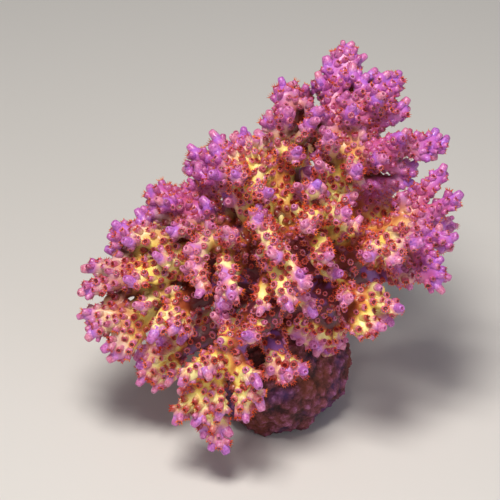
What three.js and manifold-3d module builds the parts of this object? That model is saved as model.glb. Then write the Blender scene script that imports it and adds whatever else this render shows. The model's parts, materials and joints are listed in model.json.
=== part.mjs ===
// A finger coral colony on the lump of reef rubble that it grew on.
//
// Units are millimetres, +Z is up, and the origin is the centre of the stone's flat underside.
// The colony is one grown thing, split at its main forks: a trunk that encrusts the stone's top,
// limbs that rise out of the trunk, and branches that fork off the limbs. Each limb or branch
// carries its own fingers. A piece is cut to fit round the pieces it grows out of, with a gap.
import * as THREE from "three";
import { mergeVertices } from "three/addons/utils/BufferGeometryUtils.js";
import Module from "manifold-3d";

// Driving dimensions.
const GAP = 0.3; // between neighbouring pieces
const FINGER_ROOT = 2.3; // radius of a finger where it leaves its stem
const TAPER = 0.72; // radius just under a finger's tip, as a share of its root's
const FINGER_SIDES = 5;
const STEM_SIDES = 6;
const STEM_RINGS = 3;
const LONG_FINGER = 16; // a finger longer than this bends in the middle
const LEAN = 0.16; // how far a finger first follows its stem, as a share of its own length
const WELD = 1e-3; // vertices closer than this are one

const STONE = { radius: 17.5, centre: 11.2, squash: 0.96, detail: 3, bump: 0.7 };
const TRUNK = {
  column: [[7.5, 0, 18], [7.2, 0, 29], [3, 0.5, 39]],
  columnRadii: [8.8, 7],
  skirt: { centre: [5.5, -0.5, 20], radii: [11.5, 10.5, 10] },
  crown: { centre: [1.5, 2.5, 37.5], radii: [13, 11.5, 8] },
};
const CORAL = { color: 0xc56d8e, roughness: 0.55, metalness: 0 };
const RUBBLE = { color: 0x6b3240, roughness: 0.9, metalness: 0 };

// Each stem runs through the points of `stem` and tapers from radii[0] to radii[1]. Each finger is
// [share of the way along the stem, x, y, z of its tip], with its own root radius last where that
// isn't FINGER_ROOT.
// A piece comes after the pieces it grows out of.
const BRANCHES = [
  {
    name: "right_limb",
    stem: [[6, 0, 35], [17, -1, 44], [27, -2, 51], [33, -1, 54]],
    radii: [5, 3.2],
    fingers: [
      [0.7, 40, 10, 61.5],
      [0.98, 43, 4, 57.5],
      [0.8, 42.5, 10, 45.5],
      [0.92, 42, -6, 51],
      [0.82, 39, -12, 44],
      [0.7, 20.5, -17, 54.5],
      [0.8, 26, -17, 53],
      [0.95, 32, -13, 55, 1.9],
      [0.72, 31.5, -10, 41.5, 2],
    ],
  },
  {
    name: "lower_right_limb",
    stem: [[8, -3, 32], [12, -7, 37], [18, -12, 42]],
    radii: [4.2, 3.2],
    fingers: [
      [0.95, 29.5, -18, 40],
      [0.75, 19.5, -22, 36],
      [0.95, 24, -22, 37, 1.9],
      [0.8, 27, -16, 36, 1.9],
      [0.9, 15.5, -21, 45, 1.9],
    ],
  },
  {
    name: "upper_limb",
    stem: [[4.5, 3, 38], [9, 9, 49], [14.5, 14, 60]],
    radii: [5.4, 4.6],
    fingers: [
      [0.62, 19, 4, 57, 2],
      [0.75, 22, 18, 52, 2],
      [0.85, 10, 3, 67, 2],
      [0.55, 5, 3, 61, 2],
      [1.0, 12, 8, 72, 2.2],
    ],
  },
  {
    name: "upper_right_branch",
    stem: [[15, 14, 59], [20.5, 13, 63], [30, 16, 64.5], [40, 18, 64.3]],
    radii: [3.6, 1.9],
    fingers: [
      [0.5, 30, 12, 70, 1.9],
      [0.7, 36, 13, 61.5, 1.8],
      [0.15, 33.5, 16, 56.5],
      [0.15, 18, 2, 65],
      [0.35, 24, 5, 66.5, 1.9],
    ],
  },
  {
    name: "top_right_branch",
    stem: [[15, 15, 61.5], [19, 21, 67], [24, 25, 71], [29.5, 29, 74.5]],
    radii: [3.8, 2.3],
    fingers: [
      [0.55, 32, 27, 67.5],
      [0.5, 23.5, 35, 71.5, 2],
      [0.6, 24, 18, 76],
      [0.3, 17.5, 14, 75],
    ],
  },
  {
    name: "top_branch",
    stem: [[13, 15, 61], [13.5, 24, 66], [15.5, 31, 72], [17.2, 37.5, 79]],
    radii: [4, 2.5],
    fingers: [
      [0.6, 19.5, 27, 77.5],
      [0.5, 9, 33, 71.5, 2.1],
      [0.35, 8.5, 18, 71.5, 2.1],
      [0.45, 18, 37, 66],
    ],
  },
  {
    name: "top_left_limb",
    stem: [[2, 6, 38], [1.5, 12, 50], [3, 19, 60], [2.5, 27.5, 74]],
    radii: [5, 2.4],
    fingers: [
      [0.62, 8.5, 31, 70],
      [0.62, -2.5, 20, 69.5, 2],
      [0.5, 5, 5, 68.5],
      [0.68, 2.5, 15, 73.5, 2],
      [0.45, -4, 27, 60, 2],
      [0.6, 9.5, 14, 72.5, 2],
    ],
  },
  {
    name: "upper_left_limb",
    stem: [[-0.5, 3, 38], [-4, 6, 48], [-8.5, 10, 58], [-7.5, 17.5, 67]],
    radii: [4.6, 2.6],
    fingers: [
      [0.7, -20.5, 17, 61.5],
      [0.6, -19.5, 11, 59.5],
      [0.78, -15, 19, 64.5, 2],
      [0.68, -15, 4.5, 63, 2],
      [0.72, -8.7, -1.5, 65.8],
      [0.5, -1.5, -5.5, 64.5],
    ],
  },
  {
    name: "left_upper_limb",
    stem: [[-3, 2, 38], [-11, 4.5, 45], [-19, 8, 50.5], [-30.5, 12, 54]],
    radii: [4.4, 2.7],
    fingers: [
      [0.72, -27, 4, 55.5],
      [0.6, -21, 13, 55, 2],
      [0.55, -24, -4, 51.5],
      [0.5, -15.5, 3, 56, 2],
      [0.66, -25, 19, 49, 2],
    ],
  },
  {
    name: "left_limb",
    stem: [[-3, 0, 35.5], [-13, -2, 39.5], [-24, -3, 41.5], [-33, -5, 41.5]],
    radii: [4.4, 3],
    fingers: [
      [0.98, -44.5, 1, 39.7],
      [0.96, -46, -6.5, 37.3],
      [0.85, -39, 4, 42.5, 2],
      [0.62, -27, -9, 49.3],
      [0.5, -20, -11, 46.5, 2],
      [0.85, -33.5, -12, 43.5, 2],
    ],
  },
  {
    name: "left_top_branch",
    stem: [[-20, 0, 43.5], [-27, 0.5, 47], [-38.5, 4, 48]],
    radii: [3.2, 2.2],
    fingers: [
      [0.7, -34, -3.5, 49, 1.9],
      [0.55, -31, 6, 51.5, 1.9],
    ],
  },
  {
    name: "left_lower_branch",
    stem: [[-25, -5, 38.5], [-31, -8, 34], [-38, -9, 32], [-46, -8, 32.3]],
    radii: [3.1, 1.9],
    fingers: [
      [0.5, -44, -12.5, 29],
      [0.38, -39.5, -16, 27],
      [0.22, -35, -15.5, 25.5, 2],
      [0.15, -31.5, -14, 38.5, 1.9],
      [0.45, -41, -3, 29, 1.9],
    ],
  },
  {
    name: "left_inner_branch",
    stem: [[-15, -4, 36], [-21, -8, 36], [-26, -13, 36]],
    radii: [3.2, 2.4],
    fingers: [
      [0.8, -22.5, -19, 35, 2],
      [0.95, -28.5, -19.5, 34, 2],
      [0.6, -20.5, -16, 30.5, 2],
    ],
  },
  {
    name: "low_left_branch",
    stem: [[-3, -3, 30], [-13, -7, 27.5], [-24, -10, 23.5], [-32, -13, 17.5]],
    radii: [4.2, 2.3],
    fingers: [
      [0.8, -27.5, -15.5, 14.5, 2],
      [0.75, -33, -9, 22.5, 2],
      [0.65, -24, -17.5, 19, 2],
      [0.3, -19.5, -2, 28.5, 2.6],
    ],
  },
  {
    name: "front_left_limb",
    stem: [[1, -4, 34.5], [-3, -14, 36], [-9, -21, 35.5], [-14, -25, 30.5], [-15, -27, 24]],
    radii: [4.4, 3],
    fingers: [
      [0.7, -22.5, -29, 28.5],
      [0.93, -24, -28.5, 17],
      [0.97, -18.5, -32, 18.5, 1.9],
      [1.0, -14, -31, 10.7],
      [0.9, -12, -32.5, 20.5, 1.9],
      [0.42, -5.3, -29.5, 41],
      [0.68, -16.5, -32, 33, 1.9],
      [0.85, -21.5, -21, 20, 2],
      [0.5, -14.5, -17, 38.5, 1.9],
    ],
  },
  {
    name: "front_left_spur",
    stem: [[-10.5, -22.5, 34], [-7.8, -28, 29], [-7.5, -32, 19.4]],
    radii: [2.7, 1.8],
    fingers: [
      [0.5, -2.8, -34, 25.5, 1.8],
      [0.3, -4, -33.5, 32, 1.8],
    ],
  },
  {
    name: "low_front_branch",
    stem: [[-1, -7, 26], [0, -16, 28], [3, -25, 24.5]],
    radii: [3, 1.8],
    fingers: [
      [0.6, 7.5, -24, 27, 1.8],
      [0.5, -2, -24.5, 26.5, 1.8],
    ],
  },
  {
    name: "front_limb",
    stem: [[1.5, -3, 39], [-1, -6, 48], [-4, -5, 58]],
    radii: [4.8, 3],
    fingers: [
      [0.9, 0.8, -21.5, 57],
      [0.5, 3, -26.5, 47.5],
      [0.7, 7, -23, 50, 2],
      [0.35, 8.5, -20.5, 42, 2],
      [0.3, -3.5, -21.5, 42.5, 2],
      [1.0, -4.5, -13, 61, 2],
    ],
  },
  {
    name: "front_left_upper_limb",
    stem: [[-3, -2, 40], [-8, -4, 46.5], [-13, -5, 51], [-16.5, -6, 51.5]],
    radii: [4.2, 2.7],
    fingers: [
      [1.0, -16.3, -20.5, 47],
      [0.6, -9.5, -23.5, 47.5],
      [0.7, -9.5, -13, 58],
      [0.9, -20, -13, 53.5, 2],
      [0.35, -13, -18.5, 40.5, 2],
    ],
  },
  {
    name: "front_right_limb",
    stem: [[5, -1, 39], [7.5, -3, 48], [10, -1, 59]],
    radii: [4.6, 3],
    fingers: [
      [0.8, 6.6, -16, 61.5],
      [0.55, 11, -20, 55.5],
      [0.92, 16, -13.5, 63.5],
      [0.55, 20, -5, 55.5, 2],
      [1.0, 8, -7, 67],
      [0.25, 14.5, -14.5, 47.5, 2],
    ],
  },
  {
    name: "back_left_limb",
    stem: [[-2, 5, 36], [-11, 13, 42], [-19, 22, 44]],
    radii: [4.4, 3],
    fingers: [
      [0.95, -30, 27, 40],
      [1.0, -23, 33, 38],
      [0.85, -12.5, 31, 51],
      [0.75, -31, 19, 39],
      [0.75, -18, 23, 53.5],
    ],
  },
  {
    name: "back_limb",
    stem: [[3, 7, 36], [3, 17, 42], [2, 27, 46]],
    radii: [4.4, 3],
    fingers: [
      [0.95, -7, 38, 48],
      [1.0, 3, 41, 43],
      [0.9, 11, 37, 52],
      [0.85, 1, 34, 58],
      [0.6, -9, 28, 42, 2],
    ],
  },
  {
    name: "back_right_limb",
    stem: [[8, 4, 36], [16, 11, 41], [24, 18, 45]],
    radii: [4.4, 3],
    fingers: [
      [0.95, 36, 22, 42],
      [1.0, 29, 32, 44],
      [0.8, 20, 32, 45],
      [0.7, 24, 25, 56],
    ],
  },
  {
    name: "low_back_left_branch",
    stem: [[-4, 5, 31], [-14, 10, 32.5], [-25, 13, 31.5]],
    radii: [3.6, 2.5],
    fingers: [
      [0.95, -36, 11, 34],
      [0.9, -31, 21, 28.5],
      [0.7, -22, 22, 33, 2],
      [0.75, -30, 4, 28.5, 2],
    ],
  },
  {
    name: "low_back_branch",
    stem: [[4, 8, 30], [4, 18, 31.5], [4, 27, 31]],
    radii: [3.6, 2.5],
    fingers: [
      [0.9, -5, 35, 31],
      [1.0, 4.5, 37.5, 33],
      [0.85, 12, 33, 28.5],
    ],
  },
  {
    name: "low_back_right_branch",
    stem: [[11, 3, 31], [20, 6, 34], [28, 8, 34]],
    radii: [3.6, 2.5],
    fingers: [
      [0.95, 39, 8, 37],
      [0.8, 32, -2, 37, 2],
      [1.0, 34, 17, 32],
    ],
  },
];

const wasm = await Module();
wasm.setup();

// A closed three.js geometry as a solid. Triangles that collapse at a pole are dropped.
function solidFrom(geometry) {
  const bare = geometry.clone();
  bare.deleteAttribute("normal");
  bare.deleteAttribute("uv");
  const merged = mergeVertices(bare, WELD);
  const kept = [];
  for (let i = 0; i < merged.index.count; i += 3) {
    const [a, b, c] = [0, 1, 2].map((k) => merged.index.getX(i + k));
    if (a !== b && b !== c && c !== a) kept.push(a, b, c);
  }
  return new wasm.Manifold(
    new wasm.Mesh({
      numProp: 3,
      vertProperties: merged.attributes.position.array,
      triVerts: Uint32Array.from(kept),
    }),
  );
}

// A solid as a BufferGeometry with flat faces.
function geometryFrom(solid) {
  const mesh = solid.getMesh();
  const positions = new Float32Array(mesh.numVert * 3);
  for (let i = 0; i < mesh.numVert; i++) {
    positions.set(mesh.vertProperties.subarray(i * mesh.numProp, i * mesh.numProp + 3), i * 3);
  }
  const geometry = new THREE.BufferGeometry();
  geometry.setAttribute("position", new THREE.BufferAttribute(positions, 3));
  geometry.setIndex(new THREE.BufferAttribute(mesh.triVerts, 1));
  const faceted = geometry.toNonIndexed();
  faceted.computeVertexNormals();
  return faceted;
}

const route = (points) => new THREE.CatmullRomCurve3(points.map((p) => new THREE.Vector3(...p)));

// A round, tapered, blunt-ended tube: a lathed blank whose every vertex is carried onto the curve.
function taperedTube(curve, rootRadius, tipRadius, sides, rings) {
  const length = curve.getLength();
  const profile = [new THREE.Vector2(0, 0)];
  for (let i = 0; i <= rings; i++) {
    const radius = THREE.MathUtils.lerp(rootRadius, tipRadius, i / rings);
    profile.push(new THREE.Vector2(radius, (i / rings) * (length - 0.8 * tipRadius)));
  }
  profile.push(new THREE.Vector2(0, length));
  const blank = new THREE.LatheGeometry(profile, sides);

  const steps = 24;
  const frames = curve.computeFrenetFrames(steps);
  const position = blank.getAttribute("position");
  const across = new THREE.Vector3();
  for (let i = 0; i < position.count; i++) {
    const t = Math.min(1, Math.max(0, position.getY(i) / length));
    const k = Math.round(t * steps);
    across
      .copy(frames.normals[k])
      .multiplyScalar(position.getZ(i))
      .addScaledVector(frames.binormals[k], position.getX(i));
    across.add(curve.getPointAt(t));
    position.setXYZ(i, across.x, across.y, across.z);
  }
  return solidFrom(blank);
}

// The curve of a finger: it leaves along its stem and turns towards its tip.
function fingerCurve(stem, [share, x, y, z]) {
  const root = stem.getPointAt(share);
  const tip = new THREE.Vector3(x, y, z);
  const reach = tip.distanceTo(root);
  const bend = new THREE.Vector3()
    .lerpVectors(root, tip, 0.5)
    .addScaledVector(stem.getTangentAt(share), LEAN * reach);
  return new THREE.CatmullRomCurve3([root, bend, tip]);
}

// A stem with its fingers, every radius larger by `extra`.
function branchSolid({ stem, radii, fingers }, extra) {
  const spine = route(stem);
  const tubes = [taperedTube(spine, radii[0] + extra, radii[1] + extra, STEM_SIDES, STEM_RINGS)];
  for (const finger of fingers) {
    const curve = fingerCurve(spine, finger);
    const radius = finger[4] ?? FINGER_ROOT;
    const rings = curve.getLength() > LONG_FINGER ? 2 : 1;
    tubes.push(taperedTube(curve, radius + extra, TAPER * radius + extra, FINGER_SIDES, rings));
  }
  return tubes.reduce((whole, tube) => whole.add(tube));
}

// An ellipsoid about a centre.
function ellipsoid([x, y, z], radii) {
  const geometry = new THREE.SphereGeometry(1, 14, 8);
  geometry.scale(...radii).rotateX(Math.PI / 2).translate(x, y, z);
  return solidFrom(geometry);
}

// The stone: a lumpy ball, cut off flat at z = 0.
function stoneSolid(extra) {
  const { radius, centre, squash, detail, bump } = STONE;
  const geometry = new THREE.IcosahedronGeometry(1, detail);
  const position = geometry.getAttribute("position");
  const p = new THREE.Vector3();
  for (let i = 0; i < position.count; i++) {
    p.fromBufferAttribute(position, i).normalize();
    const lumps =
      Math.sin(2.4 * p.x - 0.9) * Math.cos(2.7 * p.y) +
      0.5 * Math.sin(5.3 * p.z + 1.2) * Math.cos(4.1 * p.x + 2.4) +
      0.4 * Math.cos(6.7 * p.y + 2.1 * p.z);
    p.multiplyScalar(radius + bump * lumps + extra);
    position.setXYZ(i, p.x, p.y, centre + squash * p.z);
  }
  const block = new THREE.BoxGeometry(80, 80, 80).translate(0, 0, 40);
  return solidFrom(geometry).intersect(solidFrom(block));
}

function trunkSolid(extra) {
  const { column, columnRadii, skirt, crown } = TRUNK;
  const stalk = taperedTube(route(column), columnRadii[0] + extra, columnRadii[1] + extra, 12, 2);
  return [skirt, crown].reduce(
    (whole, { centre, radii }) => whole.add(ellipsoid(centre, radii.map((r) => r + extra))),
    stalk,
  );
}

// The largest body of a solid that its neighbours may have nicked.
function largestBody(solid) {
  return solid.decompose().reduce((a, b) => (b.volume() > a.volume() ? b : a));
}

const colony = new THREE.Group();
colony.name = "finger_coral";

function addPiece(name, solid, finish) {
  const mesh = new THREE.Mesh(geometryFrom(solid), new THREE.MeshStandardMaterial(finish));
  mesh.name = name;
  colony.add(mesh);
}

addPiece("stone", stoneSolid(0), RUBBLE);
let taken = stoneSolid(GAP);
addPiece("trunk", largestBody(trunkSolid(0).subtract(taken)), CORAL);
taken = taken.add(trunkSolid(GAP));
for (const branch of BRANCHES) {
  addPiece(branch.name, largestBody(branchSolid(branch, 0).subtract(taken)), CORAL);
  taken = taken.add(branchSolid(branch, GAP));
}

export default colony;
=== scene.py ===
"""A living finger coral colony on its lump of reef rubble.

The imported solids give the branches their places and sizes. Over them goes one continuous living skin,
with side fingers in the forks and short spurs along the limbs, cut into a piece for each branch. On it
stand the cups: several thousand small stony tubes, each with a polyp, that lean towards the tip of their
finger. A larger cup ends each finger.
"""

import heapq
import json
import logging
import math
from collections.abc import Iterable, Sequence
from dataclasses import dataclass, field
from enum import Enum
from itertools import product

import bmesh
import bpy
import numpy as np
from mathutils import Matrix, Vector, noise
from mathutils.bvhtree import BVHTree
from mathutils.kdtree import KDTree

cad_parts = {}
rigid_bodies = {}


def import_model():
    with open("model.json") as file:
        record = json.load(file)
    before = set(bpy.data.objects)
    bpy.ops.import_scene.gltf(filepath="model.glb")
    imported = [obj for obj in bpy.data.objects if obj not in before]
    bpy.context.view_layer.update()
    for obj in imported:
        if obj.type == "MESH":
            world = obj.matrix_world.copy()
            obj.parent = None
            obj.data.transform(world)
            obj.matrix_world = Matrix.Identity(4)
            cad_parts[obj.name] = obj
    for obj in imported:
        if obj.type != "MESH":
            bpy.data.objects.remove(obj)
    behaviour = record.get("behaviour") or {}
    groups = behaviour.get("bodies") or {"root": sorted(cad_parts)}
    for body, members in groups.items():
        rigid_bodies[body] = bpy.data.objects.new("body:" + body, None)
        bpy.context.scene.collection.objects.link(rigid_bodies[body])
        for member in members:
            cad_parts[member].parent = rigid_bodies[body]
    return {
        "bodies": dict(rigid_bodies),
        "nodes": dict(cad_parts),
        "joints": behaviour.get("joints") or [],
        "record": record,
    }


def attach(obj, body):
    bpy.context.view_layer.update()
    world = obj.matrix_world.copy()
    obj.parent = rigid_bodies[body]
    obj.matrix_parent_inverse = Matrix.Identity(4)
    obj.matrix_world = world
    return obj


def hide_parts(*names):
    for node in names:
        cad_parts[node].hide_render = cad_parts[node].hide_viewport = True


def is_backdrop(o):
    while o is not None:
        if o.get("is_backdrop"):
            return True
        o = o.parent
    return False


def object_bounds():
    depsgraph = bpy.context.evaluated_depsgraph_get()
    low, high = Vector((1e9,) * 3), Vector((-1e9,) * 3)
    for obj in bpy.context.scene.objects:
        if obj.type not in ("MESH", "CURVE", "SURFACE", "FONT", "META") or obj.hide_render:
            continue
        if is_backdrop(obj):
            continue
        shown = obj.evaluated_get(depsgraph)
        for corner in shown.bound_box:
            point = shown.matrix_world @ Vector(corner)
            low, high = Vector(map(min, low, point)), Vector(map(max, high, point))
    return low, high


log = logging.getLogger("finger_coral")

MM = 0.001
BODY = "root"
STONE_NODE = "stone"
BAKE_MAP = "OFBake"  # the UV map that a baked texture would use
WELD = 0.002 * MM  # corners of a solid that are nearer than this are one

Ramp = tuple[tuple[float, str], ...]  # places and sRGB colours of a colour ramp


class Slot(Enum):
    """The record's material slots."""

    CORAL = "coral"
    RUBBLE = "reef_rubble"


class Along(Enum):
    """What a point attribute says about a point."""

    TO_TIP = "to_tip"  # millimetres along the skin to the nearest finger tip
    SHADE = "shade"  # 0 in the open to 1 deep between the fingers; the colours darken with it as painted shade
    FLUSH = "flush"  # 0 on the cream-yellow side of the colony to 1 on its rosy side
    RELIEF = "relief"  # on the stone: -1 in a pit to 1 on a knob
    RISE = "rise"  # on a cup: 0 at its foot, 1 at its rim, 2 in its mouth
    SEED = "seed"  # a number from 0 to 1 of the cup's own


def linear(hex_colour: str) -> tuple[float, float, float, float]:
    """Turns an sRGB colour into the linear one that shaders use.

    Args:
        hex_colour: The colour as "#RRGGBB".

    Returns:
        Linear red, green and blue, and an alpha of 1.
    """
    channels = (int(hex_colour[i : i + 2], 16) / 255 for i in (1, 3, 5))
    r, g, b = (c / 12.92 if c <= 0.04045 else ((c + 0.055) / 1.055) ** 2.4 for c in channels)
    return r, g, b, 1.0


def add_node(
    tree: bpy.types.NodeTree,
    kind: str,
    settings: dict[str, object] | None = None,
    links: dict[str | int, object] | None = None,
    stops: Ramp = (),
) -> bpy.types.Node:
    """Adds a node with its settings and links.

    Args:
        tree: The node tree to add to.
        kind: The node's type name.
        settings: Properties of the node, by name.
        links: What goes into its inputs, by name or number: an output socket or a plain value.
        stops: Places and sRGB colours of a colour ramp.

    Returns:
        The new node.
    """
    node = tree.nodes.new(kind)
    for name, value in (settings or {}).items():
        setattr(node, name, value)
    for name, value in (links or {}).items():
        if isinstance(value, bpy.types.NodeSocket):
            tree.links.new(value, node.inputs[name])
        else:
            node.inputs[name].default_value = value
    for i, (place, colour) in enumerate(stops):
        ramp = node.color_ramp.elements
        stop = ramp[i] if i < 2 else ramp.new(place)
        stop.position = place
        stop.color = linear(colour)
    return node


def new_material(name: str) -> tuple[bpy.types.Material, bpy.types.NodeTree, bpy.types.Node]:
    """Starts a material.

    Args:
        name: The material's name.

    Returns:
        The material, its node tree and its Principled shader.
    """
    material = bpy.data.materials.new(name)
    material.use_nodes = True
    return material, material.node_tree, material.node_tree.nodes["Principled BSDF"]


def mesh_object(name: str, bm: bmesh.types.BMesh) -> bpy.types.Object:
    """Turns a finished bmesh into a linked object at the origin.

    Args:
        name: The object's name.
        bm: The mesh, which is freed.

    Returns:
        The object, with smooth faces.
    """
    mesh = bpy.data.meshes.new(name)
    for face in bm.faces:
        face.smooth = True
    bm.to_mesh(mesh)
    bm.free()
    piece = bpy.data.objects.new(name, mesh)
    bpy.context.scene.collection.objects.link(piece)
    return piece


def settle(piece: bpy.types.Object, nodes: Iterable[str]) -> None:
    """Puts a finished piece into the frame and reports it.

    Args:
        piece: The piece.
        nodes: The solids that it stands for.
    """
    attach(piece, BODY)
    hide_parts(*nodes)
    log.info("%s: %d faces", piece.name, len(piece.data.polygons))


def remeshed(bm: bmesh.types.BMesh, voxel: float) -> bmesh.types.BMesh:
    """Wraps closed, overlapping meshes in one even surface.

    Args:
        bm: The meshes, which are freed.
        voxel: The spacing of the new surface's points.

    Returns:
        The surface.
    """
    rough = mesh_object("rough", bm)
    modifier = rough.modifiers.new("wrap", "REMESH")
    modifier.mode = "VOXEL"
    modifier.voxel_size = voxel
    wrapped = bpy.data.meshes.new_from_object(rough.evaluated_get(bpy.context.evaluated_depsgraph_get()))
    data = rough.data
    bpy.data.objects.remove(rough)
    bpy.data.meshes.remove(data)
    bm = bmesh.new()
    bm.from_mesh(wrapped)
    bpy.data.meshes.remove(wrapped)
    return bm


def soften(bm: bmesh.types.BMesh, rounds: int) -> None:
    """Evens a surface out and renews its normals.

    Args:
        bm: The surface.
        rounds: How many times each point moves half way to its neighbours' middle.
    """
    for _ in range(rounds):
        bmesh.ops.smooth_vert(
            bm, verts=bm.verts, factor=0.5, use_axis_x=True, use_axis_y=True, use_axis_z=True
        )
    bm.normal_update()


def largest_island(bm: bmesh.types.BMesh) -> set[bmesh.types.BMVert]:
    """Finds the points of a mesh's largest connected part.

    Args:
        bm: The mesh.

    Returns:
        The points.
    """
    left = set(bm.verts)
    best: set[bmesh.types.BMVert] = set()
    while left:
        edge = [left.pop()]
        island = set(edge)
        while edge:
            vert = edge.pop()
            fresh = {e.other_vert(vert) for e in vert.link_edges} - island
            island |= fresh
            edge += fresh
        left -= island
        if len(island) > len(best):
            best = island
    return best


def ramped(values: np.ndarray, start: float, width: float) -> np.ndarray:
    """Turns values into shares.

    Args:
        values: The values.
        start: The value that gives 0.
        width: How much more gives 1.

    Returns:
        Shares from 0 to 1.
    """
    return np.clip((values - start) / width, 0, 1)


def set_points(mesh: bpy.types.Mesh, attribute: Along, values: np.ndarray) -> None:
    """Stores one number for each point of a mesh under the attribute's name."""
    layer = mesh.attributes.new(attribute.value, "FLOAT", "POINT")
    layer.data.foreach_set("value", values.astype(np.float32))


@dataclass(frozen=True)
class TissueColours:
    """How the colour of living coral tissue runs from a finger's tip down to its root.

    Growing tips hold little of the brown algae that live in the tissue, so the pink and violet
    pigments show. Older tissue is cream-yellow. Tissue deep between the fingers is mixed towards dark
    maroon: painted shade.
    """

    sunny: Ramp = (
        (0.0, "#BA7ED4"),
        (0.07, "#C878B0"),
        (0.14, "#DE9E8C"),
        (0.2, "#F6EAA0"),
        (0.38, "#EDD468"),
        (0.52, "#CE8A44"),
        (0.66, "#A04E2A"),
        (0.85, "#742E1E"),
        (1.0, "#5E2630"),
    )
    rosy: Ramp = (
        (0.0, "#AA68D0"),
        (0.15, "#BE62BA"),
        (0.38, "#BA5284"),
        (0.62, "#A0483E"),
        (1.0, "#62241E"),
    )
    lilac: str = "#8C58A6"
    # painted shade: the dark maroon that tissue deep between the fingers is mixed towards
    painted_shade: str = "#56190D"
    reach: float = 22.0  # millimetres over which the ramps run
    blotch: float = 3.5  # millimetres across a blotch of stronger or weaker colour
    patch: float = 7.0  # millimetres across a bare lilac patch on old tissue

    def socket(self, tree: bpy.types.NodeTree) -> bpy.types.NodeSocket:
        """Builds the tissue colour.

        Args:
            tree: The material's node tree.

        Returns:
            The socket that gives the colour.
        """
        place = add_node(tree, "ShaderNodeTexCoord").outputs["Object"]
        blotches = add_node(
            tree,
            "ShaderNodeTexNoise",
            links={"Vector": place, "Scale": 1 / (self.blotch * MM), "Detail": 3.0},
        ).outputs["Fac"]
        to_tip = add_node(tree, "ShaderNodeAttribute", {"attribute_name": Along.TO_TIP.value}).outputs["Fac"]
        share = add_node(
            tree, "ShaderNodeMath", {"operation": "DIVIDE"}, {0: to_tip, 1: self.reach}
        ).outputs[0]
        shift = add_node(
            tree, "ShaderNodeMath", {"operation": "MULTIPLY_ADD"}, {0: blotches, 1: 0.4, 2: -0.2}
        ).outputs[0]
        along = add_node(tree, "ShaderNodeMath", {"operation": "ADD"}, {0: share, 1: shift}).outputs[0]
        sunny = add_node(tree, "ShaderNodeValToRGB", links={"Fac": along}, stops=self.sunny).outputs["Color"]
        rosy = add_node(tree, "ShaderNodeValToRGB", links={"Fac": along}, stops=self.rosy).outputs["Color"]
        flush = add_node(tree, "ShaderNodeAttribute", {"attribute_name": Along.FLUSH.value}).outputs["Fac"]
        open_colour = add_node(
            tree, "ShaderNodeMixRGB", links={"Fac": flush, "Color1": sunny, "Color2": rosy}
        ).outputs["Color"]
        # painted shade: the colour is mixed towards dark maroon where the fingers close round it
        shade = add_node(tree, "ShaderNodeAttribute", {"attribute_name": Along.SHADE.value}).outputs["Fac"]
        colour_in_painted_shade = add_node(
            tree,
            "ShaderNodeMixRGB",
            links={"Fac": shade, "Color1": open_colour, "Color2": linear(self.painted_shade)},
        ).outputs["Color"]
        patches = add_node(
            tree, "ShaderNodeTexNoise", links={"Vector": place, "Scale": 1 / (self.patch * MM)}
        ).outputs["Fac"]
        bare = add_node(
            tree,
            "ShaderNodeMapRange",
            {"interpolation_type": "SMOOTHSTEP"},
            {"Value": patches, "From Min": 0.54, "From Max": 0.66},
        ).outputs["Result"]
        old = add_node(
            tree,
            "ShaderNodeMapRange",
            links={"Value": along, "From Min": 0.5, "From Max": 0.8, "To Max": 0.8},
        ).outputs["Result"]
        amount = add_node(tree, "ShaderNodeMath", {"operation": "MULTIPLY"}, {0: bare, 1: old}).outputs[0]
        return add_node(
            tree,
            "ShaderNodeMixRGB",
            links={"Fac": amount, "Color1": colour_in_painted_shade, "Color2": linear(self.lilac)},
        ).outputs["Color"]


@dataclass(frozen=True)
class LivingSkin:
    """Coenosarc: a thin wet film of living tissue over a finely granular skeleton.

    The film gives a soft gloss, and the grains under it break the highlight up.
    """

    tissue: TissueColours = TissueColours()
    grain: float = 0.45  # millimetres across a skeletal grain, drawn twice as coarse as it is to show
    roughness: float = 0.42
    painted_glow: float = 0.12  # painted glow: the colour is also emitted, standing in for the fluorescence of the tissue pigments

    def material(self) -> bpy.types.Material:
        """Builds the material.

        Returns:
            The material.
        """
        material, tree, shader = new_material("coral_living_skin")
        colour = self.tissue.socket(tree)
        place = add_node(tree, "ShaderNodeTexCoord").outputs["Object"]
        grains = add_node(
            tree,
            "ShaderNodeTexVoronoi",
            {"feature": "SMOOTH_F1"},
            {"Vector": place, "Scale": 1 / (self.grain * MM)},
        ).outputs["Distance"]
        bump = add_node(
            tree,
            "ShaderNodeBump",
            {"invert": True},
            {"Height": grains, "Strength": 0.5, "Distance": 0.15 * MM},
        ).outputs["Normal"]
        tree.links.new(colour, shader.inputs["Base Color"])
        # painted glow: the tissue colour is emitted as well as reflected
        tree.links.new(colour, shader.inputs["Emission Color"])
        tree.links.new(bump, shader.inputs["Normal"])
        shader.inputs["Emission Strength"].default_value = self.painted_glow
        shader.inputs["Roughness"].default_value = self.roughness
        shader.inputs["Coat Weight"].default_value = 0.25
        shader.inputs["Coat Roughness"].default_value = 0.25
        return material


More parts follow.
